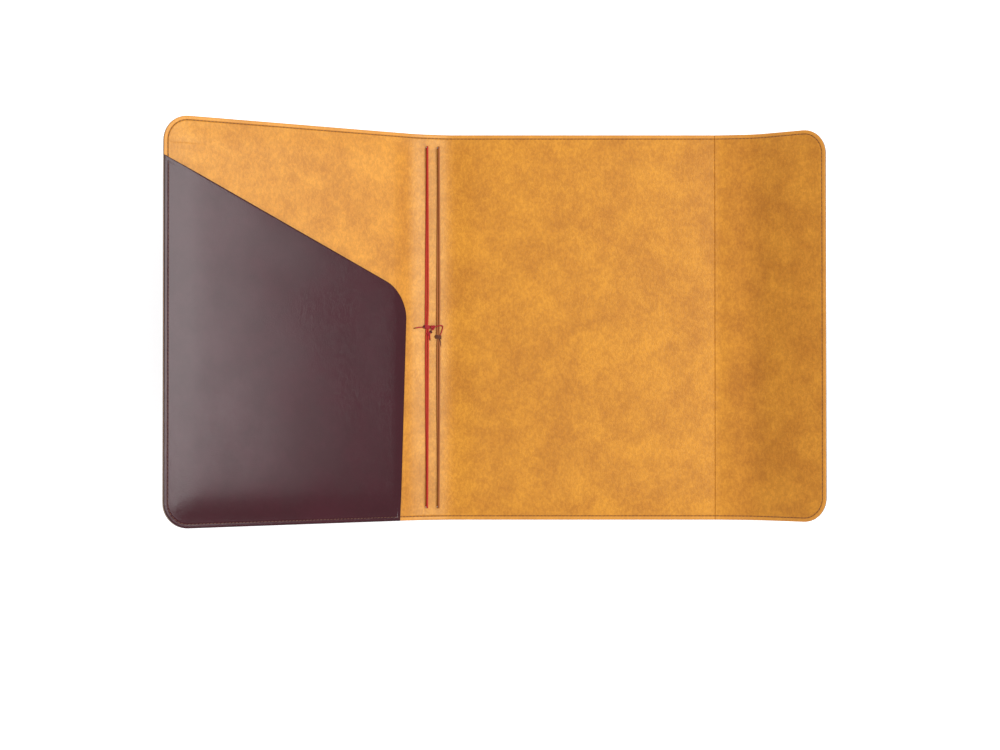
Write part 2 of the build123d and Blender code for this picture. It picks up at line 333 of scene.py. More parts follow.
# %% Build the flat sheet once
flat_case = case_outline()
follow_edge(flat_case)
cut(flat_case, cuts_across(), Vector((1, 0, 0)))
cut(flat_case, cuts_up(), Vector((0, 1, 0)))
for hole_x in (SPINE_CENTRE - ELASTIC_OFFSET, SPINE_CENTRE + ELASTIC_OFFSET):
    for hole_y in (-HOLE_Y, HOLE_Y):
        punch(flat_case, hole_x, hole_y)
print("flat sheet:", len(flat_case.faces), "faces")

# %% [markdown]
# ## How high the leather stands
#
# The lining climbs a little over each board, dips into the groove of the seam and rounds off
# at the cut edge. A crease runs down beside the back board, where the gusset folds. These
# small heights are real geometry, because they catch the light, and each is a formula of the
# place on the sheet. Sculpting would do as well, but a formula fits every sheet alike.

# %% Heights on the sheet
EDGE_ROUND = 0.0006
GROOVE_HALF = 0.0006
GROOVE_DEPTH = 0.0004
CREASE_DEPTH = 0.0004
WRINKLE_DEPTH = 0.0001
WRINKLE_SPAN = (FRONT_EDGE + 0.0027, FRONT_EDGE + 0.036)
WRINKLE_ENDS = (0.006, 0.012)
WAVE_HEIGHT = 0.0001
WAVE_LENGTH = 0.045


def edge_distance(x, y):
    """How far a place on the unfolded case is inside its outline."""
    beyond_x = abs(x - (FRONT_EDGE + FLAP_EDGE) / 2) - (FLAP_EDGE - FRONT_EDGE) / 2 + CORNER_RADIUS
    beyond_y = abs(y) - HALF_HEIGHT + CORNER_RADIUS
    corner = math.hypot(max(beyond_x, 0), max(beyond_y, 0))
    return CORNER_RADIUS - corner - min(max(beyond_x, beyond_y), 0)


def rounding(depth):
    """How far the surface drops towards the cut edge."""
    short = max(EDGE_ROUND - depth, 0)
    return EDGE_ROUND - math.sqrt(EDGE_ROUND**2 - short**2)


def groove(distance):
    """How deep the seam's groove is, that far from the case's edge."""
    return GROOVE_DEPTH * (1 - smooth(abs(distance - SEAM_INSET) / GROOVE_HALF))


def board_pad(x, distance):
    """How far the board under the lining lifts it."""
    across = max(smooth((x - low) / PAD_RUN) * smooth((high - x) / PAD_RUN)
                 for low, high in PADS)
    return BOARD_THICK * across * smooth(distance / PAD_SLOPE)


def creases(x, y):
    """The crease along the gusset and the short wrinkle near the cover's top corner."""
    crease = CREASE_DEPTH * (1 - smooth(abs(x - CREASE_X) / CREASE_HALF))
    (near, far), (near_end, far_end) = WRINKLE_SPAN, WRINKLE_ENDS
    along = smooth((x - near) / near_end) * smooth((far - x) / far_end)
    return crease + WRINKLE_DEPTH * along * (1 - smooth(abs(y - WRINKLE_Y) / CREASE_HALF))


def wave(x, y):
    """The slight unevenness of a hide."""
    return WAVE_HEIGHT * noise.noise(Vector((x, y, 0)) / WAVE_LENGTH)


def lining_base(x, y):
    """The lining's surface without its edge, groove and creases."""
    return SOFT_TOP + board_pad(x, edge_distance(x, y)) + wave(x, y)


def lining_top(x, y, depth):
    """The lining's surface."""
    return lining_base(x, y) - groove(edge_distance(x, y)) - rounding(depth) - creases(x, y)


def glued_side(x, y, depth):
    """Where the lining is glued to the outer leather: everywhere at the same height."""
    return OUTER_THICK


def outer_under(x, y, depth):
    """The outer leather's surface, which the case lies on."""
    return groove(edge_distance(x, y)) + rounding(depth)


# %% [markdown]
# ## From flat sheets to pieces
#
# One long sheet can't bend over four folds at once in this frame, because a piece blends
# between two bodies. So the sheet is parted where it always stays flat: in the middle of the
# spine, the back panel and the gusset. The parts meet edge to edge and look like one sheet.

# %% Parts of the case, and how each one bends
PARTS = {
    "front": (FRONT_EDGE, SPINE_CENTRE, "spine", "front_cover", COVER_FOLD, COVER_BEND),
    "spine": (SPINE_CENTRE, 0.0, "back_panel", "spine", SPINE_FOLD, SPINE_BEND),
    "gusset": (0.0, GUSSET_CENTRE, "back_panel", "gusset", GUSSET_FOLD, GUSSET_BEND),
    "flap": (GUSSET_CENTRE, FLAP_EDGE, "gusset", "flap", FLAP_FOLD, FLAP_BEND),
}
CAD_STRETCHES = {
    "front": ("front", "spine"),
    "spine": ("spine", "back"),
    "gusset": ("back", "gusset"),
    "flap": ("gusset", "flap"),
}
SHARP_ANGLE = math.radians(38)


def bend_with_case(piece, part):
    """Lets a piece turn with the fold that its part of the case crosses."""
    _, _, inner, outer, fold, bend = PARTS[part]
    half = math.copysign(bend / 2, fold)
    start = fold_up(Vector((fold - half, 0, SOFT_TOP)))
    end = fold_up(Vector((fold + half, 0, SOFT_TOP)))
    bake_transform(piece, inner, outer, start, end)


def make_piece(bm, name, material):
    """Turns a bmesh that is drawn in place into a finished object."""
    mesh = bpy.data.meshes.new(name)
    bm.to_mesh(mesh)
    bm.free()
    mesh.shade_smooth()
    mesh.set_sharp_from_angle(angle=SHARP_ANGLE)
    mesh.materials.append(material)
    piece = bpy.data.objects.new(name, mesh)
    bpy.context.scene.collection.objects.link(piece)
    print(name, len(mesh.polygons), "faces")
    return piece


def fold_piece(bm):
    """Notes every vertex's place on the flat case, then folds the piece up."""
    place = bm.verts.layers.float_vector.new("flat_place")
    for vert in bm.verts:
        vert[place] = vert.co
        vert.co = fold_up(vert.co)


def thicken(bm, under, top):
    """Gives a flat sheet its two sides, at the heights that the two functions say."""
    depth = bm.verts.layers.float["edge_depth"]
    # Keeps how deep each place is creased, so that the tan can paint shade in its creases.
    crease_shade = bm.verts.layers.float.new("crease_shade")
    for vert in bm.verts:
        vert[crease_shade] = creases(vert.co.x, vert.co.y) / CREASE_DEPTH
    lower = bm.verts[:]
    made = bmesh.ops.extrude_face_region(bm, geom=bm.faces[:], use_keep_orig=True)["geom"]
    upper = [part for part in made if isinstance(part, bmesh.types.BMVert)]
    for verts, height in ((lower, under), (upper, top)):
        for vert in verts:
            vert.co.z = height(vert.co.x, vert.co.y, vert[depth])
    bmesh.ops.recalc_face_normals(bm, faces=bm.faces)


def cut_part(low, high):
    """The stretch of the flat sheet from low to high."""
    bm = flat_case.copy()
    right = Vector((1, 0, 0))
    bmesh.ops.bisect_plane(bm, geom=everything(bm), dist=1e-6, plane_co=right * low,
                           plane_no=right, clear_inner=True)
    bmesh.ops.bisect_plane(bm, geom=everything(bm), dist=1e-6, plane_co=right * high,
                           plane_no=right, clear_outer=True)
    return bm


# %% [markdown]
# ## Shader groups
#
# Every leather here has the same makings: soft blotches where the dye took unevenly, fine
# fibres and tiny pores. They are built once as a node group and placed in each material with
# its own size. The pattern reads the place on the flat sheet, so it runs on over every fold
# and stays put when the case moves. Image textures would do it too, but they have one size.

# %% Helpers for nodes
def fill_inputs(tree, node, inputs):
    """Gives each of a node's inputs its value, or links it to an output."""
    for socket, value in inputs.items():
        if isinstance(value, bpy.types.NodeSocket):
            tree.links.new(value, node.inputs[socket])
        else:
            node.inputs[socket].default_value = value
    return node


def add_node(tree, kind, inputs=None, **settings):
    """Adds a node with its settings and its inputs."""
    node = tree.nodes.new(kind)
    for name, value in settings.items():
        setattr(node, name, value)
    return fill_inputs(tree, node, inputs or {})


def new_group(name, inputs, outputs):
    """A node group with those sockets: its tree, its input node and its output node."""
    tree = bpy.data.node_groups.new(name, "ShaderNodeTree")
    for socket, (kind, value) in inputs.items():
        made = tree.interface.new_socket(socket, in_out="INPUT", socket_type=kind)
        if value is not None:
            made.default_value = value
    for socket, kind in outputs.items():
        tree.interface.new_socket(socket, in_out="OUTPUT", socket_type=kind)
    return tree, tree.nodes.new("NodeGroupInput"), tree.nodes.new("NodeGroupOutput")


def maths(tree, operation, first, second=0.0, clamp=False):
    """One Math node's result."""
    inputs = {0: first, 1: second}
    return add_node(tree, "ShaderNodeMath", inputs, operation=operation,
                    use_clamp=clamp).outputs[0]


def ramp(tree, value, low, high, to_low=0.0, to_high=1.0):
    """Value from low..high brought softly to to_low..to_high."""
    inputs = {"Value": value, "From Min": low, "From Max": high,
              "To Min": to_low, "To Max": to_high}
    return add_node(tree, "ShaderNodeMapRange", inputs,
                    interpolation_type="SMOOTHSTEP").outputs["Result"]


def noise_value(tree, place, scale, detail, roughness, distortion=0.0):
    """One Noise node's value."""
    inputs = {"Vector": place, "Scale": scale, "Detail": detail, "Roughness": roughness,
              "Distortion": distortion}
    return add_node(tree, "ShaderNodeTexNoise", inputs).outputs["Fac"]


def blend_colours(tree, share, first, second, mode="MIX"):
    """One Mix node's colour."""
    node = add_node(tree, "ShaderNodeMix", data_type="RGBA", blend_type=mode)
    return fill_inputs(tree, node, {0: share, 6: first, 7: second}).outputs[2]


def stain_and_shade(tree, colour, mask, strength, tint):
    """A colour mixed towards a tint where the mask says, at most by that strength: stains and painted shade.
    """
    return blend_colours(tree, maths(tree, "MULTIPLY", mask, strength), colour, tint)


def tinted(tree, colour, mask, tint):
    """A colour multiplied by a tint where the mask says."""
    return blend_colours(tree, mask, colour,
                         blend_colours(tree, 1.0, colour, tint, "MULTIPLY"))


# %% The hide: blotches, fibres and pores
WIDE_SCALE = 0.3
WIDE_WEIGHT = 0.45
FIBRE_SCALE = 0.5
FIBRE_STRETCH = (1.0, 0.65, 1.0)


def hide_group():
    """Uneven dye, fine fibres and pores, with a height for the bump."""
    tree, given, out = new_group(
        "hide",
        {"Place": ("NodeSocketVector", None), "Blotch scale": ("NodeSocketFloat", 60.0),
         "Pore scale": ("NodeSocketFloat", 900.0)},
        {"Blotches": "NodeSocketFloat", "Fibres": "NodeSocketFloat",
         "Height": "NodeSocketFloat"})
    place = given.outputs["Place"]
    wide = noise_value(tree, place, maths(tree, "MULTIPLY", given.outputs["Blotch scale"],
                                          WIDE_SCALE), 2.0, 0.5)
    close = noise_value(tree, place, given.outputs["Blotch scale"], 7.0, 0.74)
    blotches = maths(tree, "ADD", maths(tree, "MULTIPLY", wide, WIDE_WEIGHT),
                     maths(tree, "MULTIPLY", close, 1 - WIDE_WEIGHT))
    stretched = add_node(tree, "ShaderNodeVectorMath", {0: place, 1: FIBRE_STRETCH},
                         operation="MULTIPLY").outputs[0]
    fibres = noise_value(tree, stretched, maths(tree, "MULTIPLY", given.outputs["Pore scale"],
                                                FIBRE_SCALE), 4.0, 0.65, 0.5)
    pores = add_node(tree, "ShaderNodeTexVoronoi", {
        "Vector": place, "Scale": given.outputs["Pore scale"], "Randomness": 1.0,
    }, feature="F1").outputs["Distance"]
    pits = ramp(tree, pores, 0.1, 0.6)
    height = maths(tree, "ADD", maths(tree, "MULTIPLY", pits, 0.5),
                   maths(tree, "MULTIPLY", fibres, 0.5))
    for socket, value in (("Blotches", blotches), ("Fibres", fibres), ("Height", height)):
        tree.links.new(value, out.inputs[socket])
    return tree


# %% Marks along the edge: burnished rim, pressed seam with painted groove shade, border
SEAM_DARK_HALF = 0.0002
SEAM_FADE_HALF = 0.0009
BORDER_FADE = 0.0004


def edge_group():
    """Masks along the cut edge: burnished rim, pressed seam with painted groove shade, border."""
    tree, given, out = new_group(
        "worked_edge",
        {"Depth": ("NodeSocketFloat", 1.0), "Rim": ("NodeSocketFloat", 0.0008)},
        {"Rim": "NodeSocketFloat", "Seam": "NodeSocketFloat", "Border": "NodeSocketFloat"})
    depth = given.outputs["Depth"]
    rim = ramp(tree, maths(tree, "DIVIDE", depth, given.outputs["Rim"]), 0.0, 1.0, 1.0, 0.0)
    # The seam mask is partly pressed leather and partly painted shade in the seam's groove.
    off_seam = maths(tree, "ABSOLUTE", maths(tree, "SUBTRACT", depth, SEAM_INSET))
    seam = ramp(tree, off_seam, SEAM_DARK_HALF, SEAM_FADE_HALF, 1.0, 0.0)
    border = ramp(tree, depth, SEAM_INSET - BORDER_FADE, SEAM_INSET, 1.0, 0.0)
    for socket, value in (("Rim", rim), ("Seam", seam), ("Border", border)):
        tree.links.new(value, out.inputs[socket])
    return tree


HIDE = hide_group()
WORKED_EDGE = edge_group()
print("shader groups:", HIDE.name, WORKED_EDGE.name)

# %% [markdown]
# ## Leathers
#
# The lining is a waxed tan hide: warm golden brown, cloudy with darker orange blotches, with
# a soft shine, and with painted shade on the gusset, where it bends away from the lamp. The
# outer leather is plum and satin, and the pocket is the same leather polished, so that it
# mirrors the lamp. Each gets darker at a rubbed edge. The tan also gets painted shade in its
# creases and in the groove of its pressed seam, whose leather is a little darker as well.

# %% Start a material
def new_material(name):
    """A material, its tree and its shader."""
    material = bpy.data.materials.new(name)
    material.use_nodes = True
    tree = material.node_tree
    return material, tree, tree.nodes["Principled BSDF"]


def attribute(tree, name, output):
    """What a piece's own attribute says at a point."""
    return add_node(tree, "ShaderNodeAttribute", attribute_name=name).outputs[output]


def use_group(tree, group, inputs):
    """A node group placed in a material."""
    return add_node(tree, "ShaderNodeGroup", inputs, node_tree=group)


def bump(tree, height, strength, distance):
    """The normal of a surface with that height."""
    inputs = {"Height": height, "Strength": strength, "Distance": distance}
    return add_node(tree, "ShaderNodeBump", inputs).outputs["Normal"]


# %% Tan lining leather
TAN_DARK = (0.505, 0.183, 0.0125, 1)
TAN_LIGHT = (0.672, 0.274, 0.0215, 1)
FLECK_TINT = (0.83, 0.80, 0.74, 1)
GUSSET_SHADE_TINT = (0.87, 0.83, 0.84, 1)
GUSSET_SHADE_FULL = GUSSET_CENTRE + 0.006
GUSSET_SHADE_UNTIL = (FLAP_FOLD - 0.001, FLAP_FOLD + 0.016)
BORDER_COLOUR = (0.720, 0.310, 0.060, 1)
SEAM_PRESS_AND_SHADE_COLOUR = (0.300, 0.105, 0.018, 1)
RIM_COLOUR = (0.300, 0.120, 0.030, 1)
CREASE_SHADE_COLOUR = (0.260, 0.085, 0.010, 1)


def tan_leather():
    """Waxed tan lining."""
    material, tree, shader = new_material("tan_leather")
    place = attribute(tree, "flat_place", "Vector")
    hide = use_group(tree, HIDE, {"Place": place, "Blotch scale": 85.0, "Pore scale": 950.0})
    edge = use_group(tree, WORKED_EDGE, {"Depth": attribute(tree, "edge_depth", "Fac"),
                                         "Rim": 0.0005})
    cloud = ramp(tree, hide.outputs["Blotches"], 0.34, 0.66)
    colour = blend_colours(tree, cloud, TAN_DARK, TAN_LIGHT)
    fleck = ramp(tree, hide.outputs["Fibres"], 0.38, 0.64, 1.0, 0.0)
    colour = tinted(tree, colour, fleck, FLECK_TINT)
    # Painted shade: the gusset is tinted darker where it bends away from the lamp.
    across = add_node(tree, "ShaderNodeSeparateXYZ", {0: place}).outputs["X"]
    gusset_shade = maths(tree, "MULTIPLY", ramp(tree, across, CREASE_X, GUSSET_SHADE_FULL),
                    ramp(tree, across, *GUSSET_SHADE_UNTIL, 1.0, 0.0))
    colour = tinted(tree, colour, gusset_shade, GUSSET_SHADE_TINT)
    # Painted shade: the seam mask darkens the seam's groove, and the crease mask the crease and the wrinkle.
    for mask, strength, tint in ((edge.outputs["Border"], 0.35, BORDER_COLOUR),
                                 (edge.outputs["Seam"], 0.55, SEAM_PRESS_AND_SHADE_COLOUR),
                                 (edge.outputs["Rim"], 0.6, RIM_COLOUR),
                                 (attribute(tree, "crease_shade", "Fac"), 0.6, CREASE_SHADE_COLOUR)):
        colour = stain_and_shade(tree, colour, mask, strength, tint)
    tree.links.new(colour, shader.inputs["Base Color"])
    tree.links.new(ramp(tree, hide.outputs["Blotches"], 0.3, 0.7, 0.40, 0.34),
                   shader.inputs["Roughness"])
    tree.links.new(bump(tree, hide.outputs["Height"], 0.35, 0.00025), shader.inputs["Normal"])
    shader.inputs["Specular IOR Level"].default_value = 0.5
    shader.inputs["Specular Tint"].default_value = (1.0, 0.93, 0.66, 1)
    return material


# %% Plum outer leather
PLUM_DARK = (0.0340, 0.0030, 0.0070, 1)
PLUM_LIGHT = (0.0440, 0.0055, 0.0110, 1)
PLUM_RIM = (0.020, 0.0085, 0.0085, 1)
UNEVEN_SHINE = 0.03


def plum_leather(name, roughness):
    """Finished plum leather, for the outside and the pocket."""
    material, tree, shader = new_material(name)
    hide = use_group(tree, HIDE, {"Place": attribute(tree, "flat_place", "Vector"),
                                  "Blotch scale": 38.0, "Pore scale": 1100.0})
    edge = use_group(tree, WORKED_EDGE, {"Depth": attribute(tree, "edge_depth", "Fac"),
                                         "Rim": 0.0010})
    cloud = ramp(tree, hide.outputs["Blotches"], 0.35, 0.65)
    colour = blend_colours(tree, cloud, PLUM_DARK, PLUM_LIGHT)
    colour = stain_and_shade(tree, colour, edge.outputs["Rim"], 0.8, PLUM_RIM)
    tree.links.new(colour, shader.inputs["Base Color"])
    tree.links.new(ramp(tree, hide.outputs["Blotches"], 0.3, 0.7, roughness + UNEVEN_SHINE,
                        roughness - UNEVEN_SHINE), shader.inputs["Roughness"])
    tree.links.new(bump(tree, hide.outputs["Height"], 0.22, 0.00018), shader.inputs["Normal"])
    shader.inputs["Specular IOR Level"].default_value = 0.26
    return material


TAN = tan_leather()
PLUM = plum_leather("plum_leather", 0.40)
POCKET_PLUM = plum_leather("pocket_plum_leather", 0.15)
print("materials:", TAN.name, PLUM.name, POCKET_PLUM.name)

# %% Make the outer leather and the lining
for part, (low, high, _, _, _, _) in PARTS.items():
    for layer, cad_name, under, top, material, slot in (
            ("outer", "outer_leather", outer_under, glued_side, PLUM, "plum_leather"),
            ("lining", "lining", glued_side, lining_top, TAN, "tan_leather")):
        sheet = cut_part(low, high)
        thicken(sheet, under, top)
        fold_piece(sheet)
        piece = make_piece(sheet, f"{layer}_{part}", material)
        bend_with_case(piece, part)
        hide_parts(*(f"{stretch}_{cad_name}" for stretch in CAD_STRETCHES[part]))
flat_case.free()

# %% [markdown]
# ## The pocket
#
# The pocket is a second plum leather on the cover, sewn in with the seam along the free edge
# and the bottom. Its mouth runs down on a slant and turns over a round corner to the foot.
# Its outline is the case's own, cut by two planes, with the corner between them bevelled.

# %% Cut and sew the pocket
POCKET_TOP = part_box("pocket_leather")[1].y
POCKET_FOOT = COVER_FOLD - 0.0155
POCKET_DROP = math.radians(25.5)
POCKET_LEAN = math.radians(1.8)
POCKET_MOUTH_OUT = Vector((math.sin(POCKET_DROP), math.cos(POCKET_DROP), 0))
POCKET_SIDE_OUT = Vector((math.cos(POCKET_LEAN), -math.sin(POCKET_LEAN), 0))
POCKET_CORNER = 0.032
POCKET_CORNER_SEGMENTS = 16
POCKET_THICK = 0.0012
POCKET_GAP = 0.0003
POCKET_GAPE = 0.0003
GAPE_REACH = 0.045
GAPE_FROM_SEAM = 0.12
SEWN_DOWN = 0.0042
SEWN_SLOPE = 0.030


def pocket_under(x, y, depth):
    """The pocket's underside: down on the lining where it is sewn, a little clear elsewhere."""
    distance = edge_distance(x, y)
    clear = smooth((distance - SEWN_DOWN) / SEWN_SLOPE)
    below = POCKET_MOUTH_OUT.dot(Vector((FRONT_EDGE - x, POCKET_TOP - y, 0)))
    beside = POCKET_SIDE_OUT.dot(Vector((POCKET_FOOT - x, -HALF_HEIGHT - y, 0)))
    gape = smooth(1 - min(below, beside) / GAPE_REACH) * smooth(distance / GAPE_FROM_SEAM)
    return lining_base(x, y) + POCKET_GAP * clear + POCKET_GAPE * gape


def pocket_top(x, y, depth):
    """The pocket's surface."""
    shallow_groove = groove(edge_distance(x, y)) / 2
    return pocket_under(x, y, depth) + POCKET_THICK - shallow_groove - rounding(depth)


def pocket_sheet():
    """The pocket, flat."""
    bm = case_outline()
    for place, normal in ((Vector((FRONT_EDGE, POCKET_TOP, 0)), POCKET_MOUTH_OUT),
                          (Vector((POCKET_FOOT, -HALF_HEIGHT, 0)), POCKET_SIDE_OUT)):
        bmesh.ops.bisect_plane(bm, geom=everything(bm), dist=1e-6, plane_co=place,
                               plane_no=normal, clear_outer=True)
    turn = math.pi / 2 - POCKET_DROP + POCKET_LEAN
    tip = max(bm.verts, key=lambda vert: vert.co.dot(POCKET_MOUTH_OUT + POCKET_SIDE_OUT))
    bmesh.ops.bevel(bm, geom=[tip], offset=POCKET_CORNER * math.tan(turn / 2),
                    offset_type="OFFSET", segments=POCKET_CORNER_SEGMENTS, profile=0.5,
                    affect="VERTICES", material=-1)
    follow_edge(bm)
    spacing = CUT_SPACING / 1.5
    cut(bm, evenly(FRONT_EDGE + CUT_SPACING, COVER_FOLD - CUT_SPACING, spacing),
        Vector((1, 0, 0)))
    cut(bm, evenly(CUT_SPACING - HALF_HEIGHT, POCKET_TOP, spacing), Vector((0, 1, 0)))
    return bm


pocket_bm = pocket_sheet()
pocket_area = sum(face.calc_area() for face in pocket_bm.faces)
thicken(pocket_bm, pocket_under, pocket_top)
fold_piece(pocket_bm)
pocket = make_piece(pocket_bm, "pocket", POCKET_PLUM)
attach(pocket, "front_cover")
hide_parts("pocket_leather")
print("pocket area", round(pocket_area, 4), "square metres")

# %% [markdown]
# ## The seam
#
# The seam shows as a row of separate stitches that lie in the groove on both faces. A bump
# would be cheaper, but the row is seen against the light at every fold, so each stitch is a
# small bead of its own with two dozen faces, folded up with the leather under it.

# %% Places along the seam
STITCH_PITCH = 0.0030
STITCH_LENGTH = 0.0024
STITCH_WIDTH = 0.00052
STITCH_HEIGHT = 0.00040
STITCH_SLANT = math.radians(7)


def seam_places():
    """(x, y, direction) of every stitch, once round the case."""
    radius = CORNER_RADIUS - SEAM_INSET
    wide = FLAP_EDGE - FRONT_EDGE - 2 * CORNER_RADIUS
    high = 2 * HALF_HEIGHT - 2 * CORNER_RADIUS
    arc = radius * math.pi / 2
    runs = [wide, arc, high, arc, wide, arc, high, arc]
    around = sum(runs)
    count = round(around / STITCH_PITCH)
    middle = (FRONT_EDGE + FLAP_EDGE) / 2
    for number in range(count):
        left = (number + 0.5) * around / count
        place = Vector((middle - wide / 2, high / 2 + radius))
        heading = 0.0
        for index, run in enumerate(runs):
            travel = min(left, run)
            ahead = Vector((math.cos(heading), math.sin(heading)))
            if index % 2 == 0:
                place = place + ahead * travel
            else:
                turned = travel / radius
                centre = place + Vector((ahead.y, -ahead.x)) * radius
                spoke = place - centre
                place = centre + Matrix.Rotation(-turned, 2) @ spoke
                heading -= turned
            left -= travel
            if left <= 0:
                break
        yield place.x, place.y, heading


def on_pocket(x, y):
    """True where the seam runs through the pocket."""
    left_side = x < FRONT_EDGE + CORNER_RADIUS and y < POCKET_TOP
    return left_side or (x < POCKET_FOOT and y < 0)


# %% Sew the stitches
STITCH_STANDS_OUT = STITCH_HEIGHT * 0.25


def thread_material():
    """Waxed brown thread, twisted."""
    material, tree, shader = new_material("seam_thread")
    place = add_node(tree, "ShaderNodeTexCoord").outputs["Object"]
    fuzz = noise_value(tree, place, 2500.0, 2.0, 0.5)
    colour = blend_colours(tree, ramp(tree, fuzz, 0.35, 0.65), (0.070, 0.022, 0.010, 1),
                           (0.165, 0.060, 0.022, 1))
    tree.links.new(colour, shader.inputs["Base Color"])
    tree.links.new(ramp(tree, fuzz, 0.3, 0.7, 0.62, 0.5), shader.inputs["Roughness"])
    tree.links.new(bump(tree, fuzz, 0.4, 0.0001), shader.inputs["Normal"])
    return material


THREAD = thread_material()
stitch_meshes = {part: bmesh.new() for part in PARTS}
for x, y, heading in seam_places():
    part = next(name for name, (low, high, *_) in PARTS.items() if low <= x <= high)
    surface = pocket_top if on_pocket(x, y) else lining_top
    for level, slant in ((surface(x, y, 1.0) + STITCH_STANDS_OUT, STITCH_SLANT),
                         (outer_under(x, y, 1.0) - STITCH_STANDS_OUT, -STITCH_SLANT)):
        shape = (Matrix.Translation((x, y, level))
                 @ Matrix.Rotation(heading + slant, 4, "Z")
                 @ Matrix.Diagonal((STITCH_LENGTH / 2, STITCH_WIDTH / 2, STITCH_HEIGHT / 2, 1))
                 @ Matrix.Rotation(math.pi / 2, 4, "Y"))
        bmesh.ops.create_uvsphere(stitch_meshes[part], u_segments=6, v_segments=4, radius=1,
                                  matrix=shape)
for part, bm in stitch_meshes.items():
    for vert in bm.verts:
        vert.co = fold_up(vert.co)
    stitches = make_piece(bm, f"stitches_{part}", THREAD)
    bend_with_case(stitches, part)
    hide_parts(*(f"{stretch}_seam_thread" for stretch in CAD_STRETCHES[part]))

# %% [markdown]
# ## Cords
#
# Each elastic is one cord wound twice through its two holes and knotted at mid-height, so
# that two strands show inside and two outside. Its line is a smooth curve through a few
# chosen points, and a ring of vertices is drawn out along that line. A bevelled curve would
# be simpler, but drawn out rings can carry the place round and along the cord, which the
# woven sleeve needs.

# %% Draw a cord
CORD_SIDES = 12
TIP_LENGTH = 0.0016


def on_spine(across, up, lift):
    """A place on the spine: across and up from its middle, and lift above the lining."""
    angle = fold_rest("spine_fold")
    reach = SPINE_WIDTH / 2 - across
    return Vector((SPINE_FOLD - reach * math.cos(angle) + lift * math.sin(angle), up,
                   SOFT_TOP + reach * math.sin(angle) + lift * math.cos(angle)))


def smooth_line(points):
    """Places along a smooth curve that the points steer."""
    curve = bpy.data.curves.new("line", "CURVE")
    curve.dimensions = "3D"
    curve.resolution_u = 6
    spline = curve.splines.new("NURBS")
    spline.points.add(len(points) - 1)
    for control, point in zip(spline.points, points):
        control.co = (*point, 1)
    spline.order_u = 3
    spline.use_endpoint_u = True
    holder = bpy.data.objects.new("line", curve)
    drawn = bpy.data.meshes.new_from_object(holder)
    line = [vert.co.copy() for vert in drawn.vertices]
    bpy.data.objects.remove(holder)
    bpy.data.curves.remove(curve)
    bpy.data.meshes.remove(drawn)
    return line


def add_cord(bm, points, radius, burnt_end=False):
    """Draws a ring out along a smooth line, with round ends. Returns the line's length."""
    strand = bm.verts.layers.float_vector.get("strand_place")
    strand = strand or bm.verts.layers.float_vector.new("strand_place")
    burnt = bm.verts.layers.float.get("burnt") or bm.verts.layers.float.new("burnt")
    line = smooth_line(points)
    lengths = [0.0]
    for before, after in zip(line, line[1:]):
        lengths.append(lengths[-1] + (after - before).length)
    ahead = (line[1] - line[0]).normalized()
    turned = Vector((0, 0, 1)).rotation_difference(ahead)
    rings = [(line[0] - ahead * radius * share, turned, math.sqrt(1 - share**2), 0.0)
             for share in (0.98, 0.8, 0.4)]
    for index, place in enumerate(line):
        before, after = line[max(index - 1, 0)], line[min(index + 1, len(line) - 1)]
        heading = (after - before).normalized()
        turned = ahead.rotation_difference(heading) @ turned
        ahead = heading
        rings.append((place, turned, 1.0, lengths[index]))
    rings += [(line[-1] + ahead * radius * share, turned, math.sqrt(1 - share**2), lengths[-1])
              for share in (0.4, 0.8, 0.98)]
    verts = bmesh.ops.create_circle(bm, segments=CORD_SIDES, radius=1, cap_ends=False)["verts"]
    for vert in verts:
        vert[strand] = (vert.co.x, vert.co.y, 0)
    edges = list({edge for vert in verts for edge in vert.link_edges})
    first, last = edges, edges
    for number, (place, turn, size, along) in enumerate(rings):
        if number:
            made = bmesh.ops.extrude_edge_only(bm, edges=last)["geom"]
            verts = [part for part in made if isinstance(part, bmesh.types.BMVert)]
            last = [part for part in made if isinstance(part, bmesh.types.BMEdge)
                    and all(vert in verts for vert in part.verts)]
        for vert in verts:
            around = vert[strand]
            spoke = Vector((around[0], around[1], 0)) * radius * size
            vert.co = place + turn @ spoke
            vert[strand] = (around[0], around[1], along / radius)
            left = lengths[-1] - along
            vert[burnt] = smooth(1 - left / TIP_LENGTH) if burnt_end else 0.0
    bmesh.ops.edgeloop_fill(bm, edges=first)
    bmesh.ops.edgeloop_fill(bm, edges=last)
    return lengths[-1]


# %% Sleeve of a cord
def sleeve_group():
    """A woven sleeve: how far a point is up on a thread, from the place on the cord."""
    tree, given, out = new_group(
        "woven_sleeve",
        {"Strand place": ("NodeSocketVector", None), "Threads": ("NodeSocketFloat", 6.0),
         "Pitch": ("NodeSocketFloat", 2.2)},
        {"Height": "NodeSocketFloat"})
    parts = add_node(tree, "ShaderNodeSeparateXYZ", {0: given.outputs["Strand place"]}).outputs
    around = maths(tree, "MULTIPLY", maths(tree, "ARCTAN2", parts["Y"], parts["X"]),
                   given.outputs["Threads"])
    along = maths(tree, "MULTIPLY", parts["Z"], given.outputs["Pitch"])
    right = maths(tree, "SINE", maths(tree, "ADD", around, along))
    left = maths(tree, "SINE", maths(tree, "SUBTRACT", around, along))
    woven = maths(tree, "MULTIPLY", right, left)
    tree.links.new(ramp(tree, woven, -0.7, 0.7), out.inputs["Height"])
    return tree


SLEEVE = sleeve_group()
SCORCHED = (0.230, 0.095, 0.018, 1)


